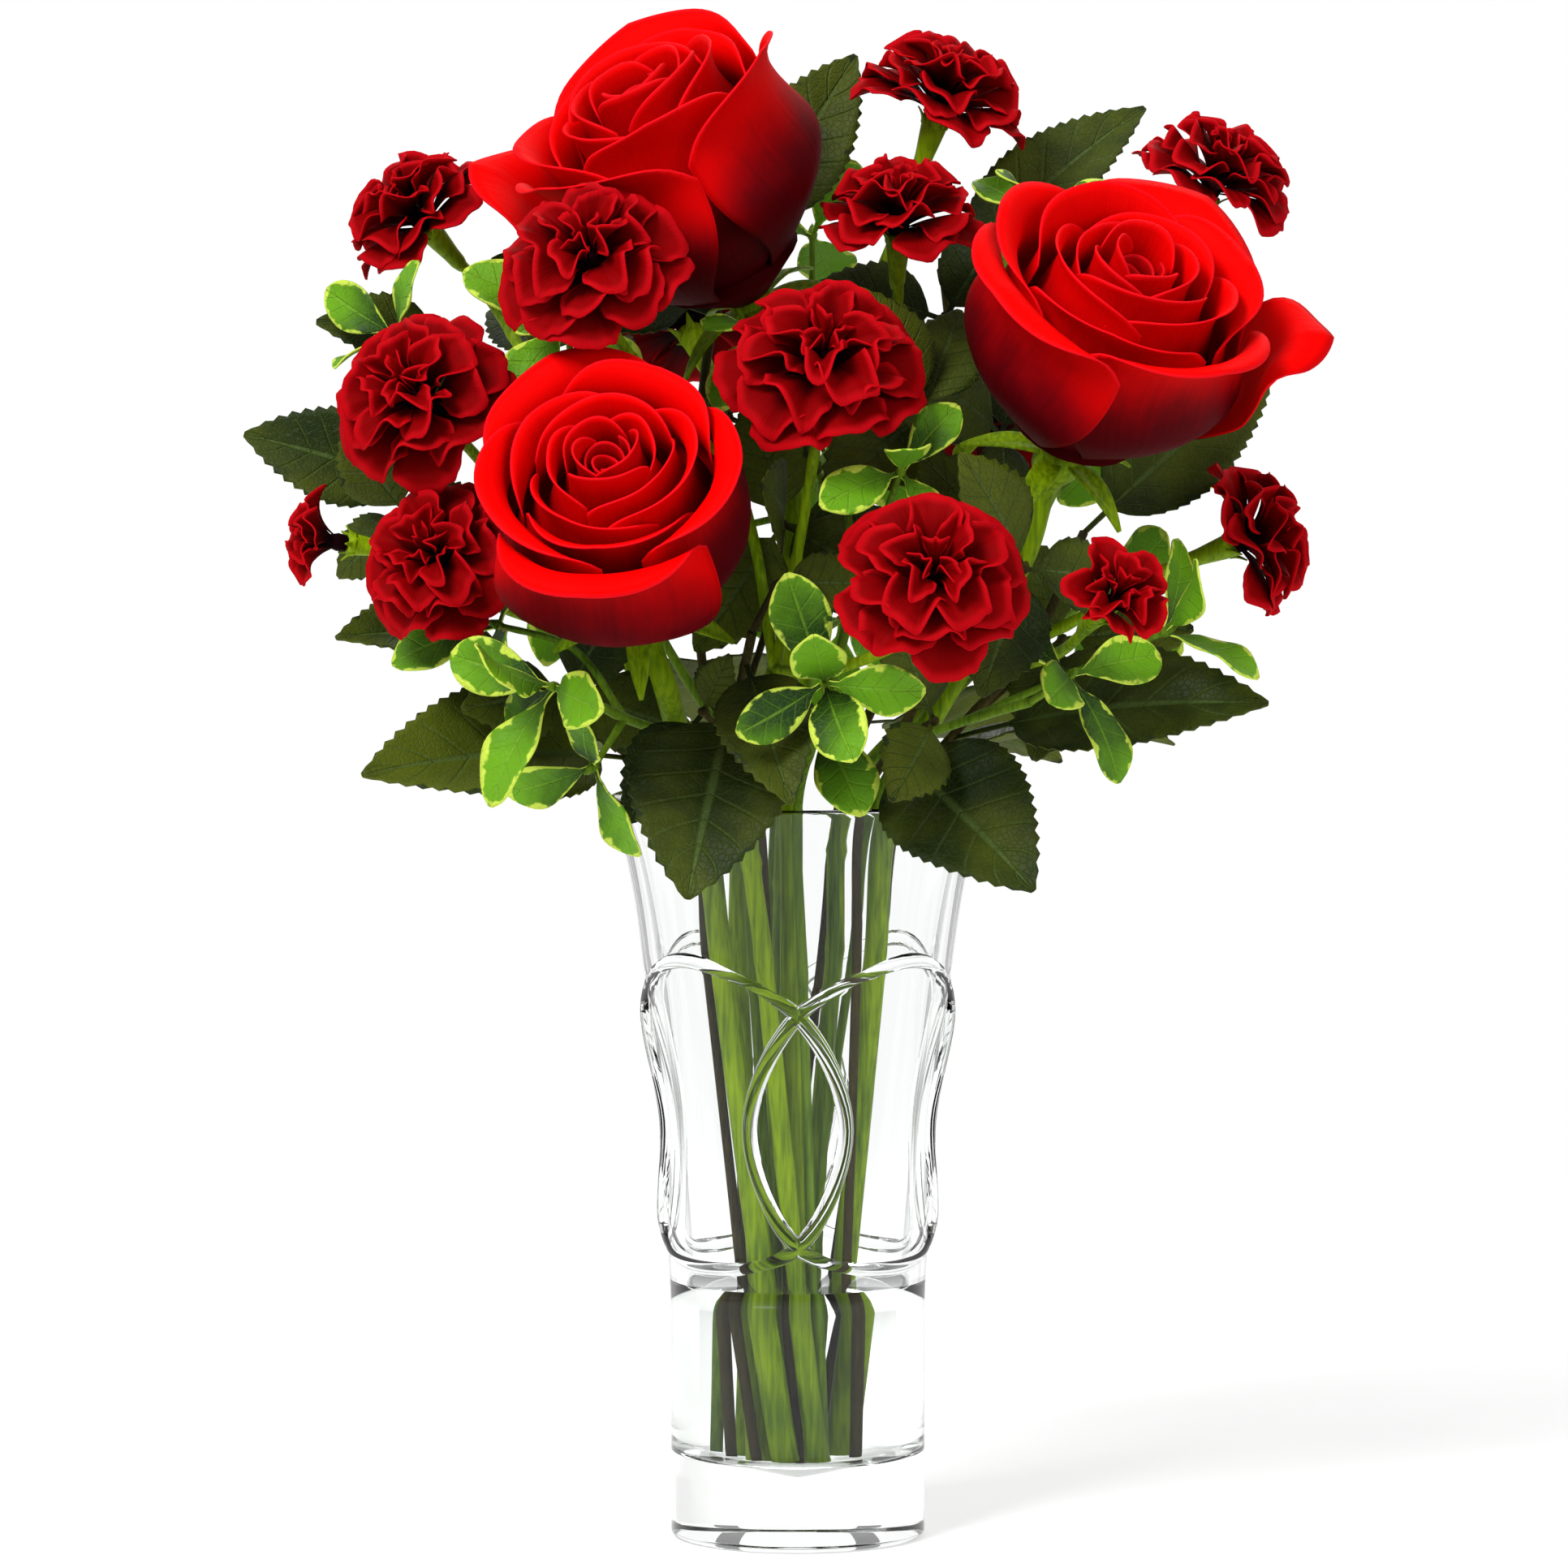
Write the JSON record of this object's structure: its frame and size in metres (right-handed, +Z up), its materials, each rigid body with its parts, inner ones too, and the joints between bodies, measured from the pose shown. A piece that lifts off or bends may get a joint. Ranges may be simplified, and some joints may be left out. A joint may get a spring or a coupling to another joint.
{
  "type": "vase of roses and carnations",
  "caption": "Bouquet of red roses and spray carnations with dark toothed and cream-edged leaves, standing in water in a flared clear glass vase with crossing raised ribs.",
  "frame": {"origin": "centre of the vase's flat foot, where it stands on the table", "axes": "+Z up along the vase's axis; -Y towards the viewer, the bouquet's front; +X to the viewer's right"},
  "size_m": [0.2951, 0.2398, 0.4153],
  "materials": {
    "glass": "clear, polished",
    "water": "clear liquid",
    "rose_petal": "velvety petal",
    "carnation_petal": "matte ruffled petal",
    "green_stem": "fresh green stem",
    "dark_leaf": "satin leaf",
    "cream_leaf": "satin leaf with a pale edge"
  },
  "bodies": {
    "root": {"carnation_back_left": "carnation_petal", "carnation_back_right": "carnation_petal", "carnation_between": "carnation_petal", "carnation_bud": "carnation_petal", "carnation_centre": "carnation_petal", "carnation_far_right": "carnation_petal", "carnation_front": "carnation_petal", "carnation_high_left": "carnation_petal", "carnation_high_right": "carnation_petal", "carnation_low_left": "carnation_petal", "carnation_mid_left": "carnation_petal", "carnation_small": "carnation_petal", "carnation_spray_back": "green_stem", "carnation_spray_front": "green_stem", "carnation_spray_left": "green_stem", "carnation_spray_right": "green_stem", "carnation_top": "carnation_petal", "carnation_under_rose": "carnation_petal", "cream_leaves_back": "cream_leaf", "cream_leaves_back_right": "cream_leaf", "cream_leaves_front_left": "cream_leaf", "cream_leaves_front_middle": "cream_leaf", "cream_leaves_left": "cream_leaf", "cream_leaves_right": "cream_leaf", "dark_leaves_back_left": "dark_leaf", "dark_leaves_back_right": "dark_leaf", "dark_leaves_front_left": "dark_leaf", "dark_leaves_front_right": "dark_leaf", "dark_leaves_left": "dark_leaf", "dark_leaves_right": "dark_leaf", "rose_left_head": "rose_petal", "rose_left_stem": "green_stem", "rose_right_head": "rose_petal", "rose_right_stem": "green_stem", "rose_top_head": "rose_petal", "rose_top_stem": "green_stem", "vase": "glass", "water": "water"}
  },
  "joints": []
}
